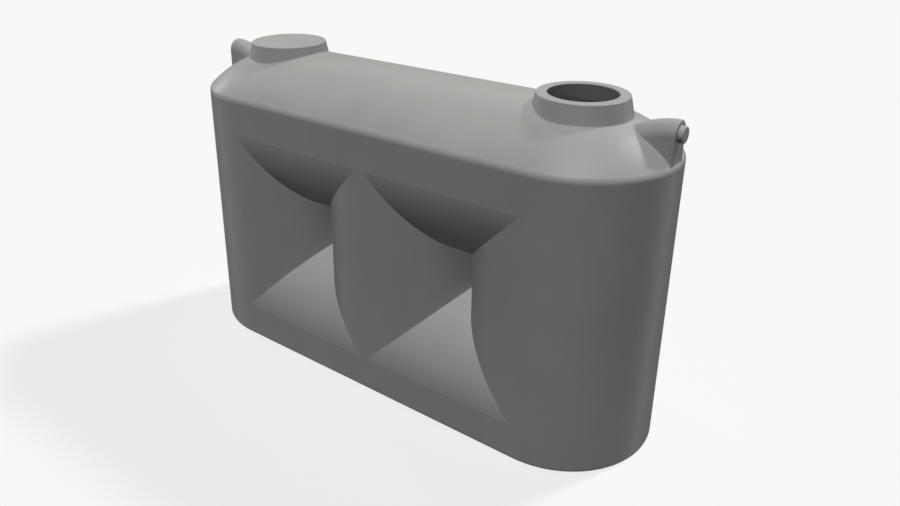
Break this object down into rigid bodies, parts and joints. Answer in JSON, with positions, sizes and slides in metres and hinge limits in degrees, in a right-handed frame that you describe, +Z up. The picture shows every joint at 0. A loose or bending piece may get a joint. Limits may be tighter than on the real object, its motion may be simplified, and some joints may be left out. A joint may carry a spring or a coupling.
{
  "type": "slimline water tank",
  "caption": "Narrow upright moulded plastic water tank with round ends, waisting recesses in both long faces, an open manhole collar and hooded overflow stubs.",
  "frame": {"origin": "middle of the flat base, on the surface that the tank stands on", "axes": "+Z up, +X along the tank towards the end with the open manhole, -Y towards the face seen in the picture"},
  "size_m": [2.662, 0.88, 1.619],
  "materials": {
    "moulded_shell": "grey rotationally moulded polyethylene, satin, with a very fine mould grain"
  },
  "bodies": {
    "root": {"tank_shell": "moulded_shell"}
  },
  "joints": []
}
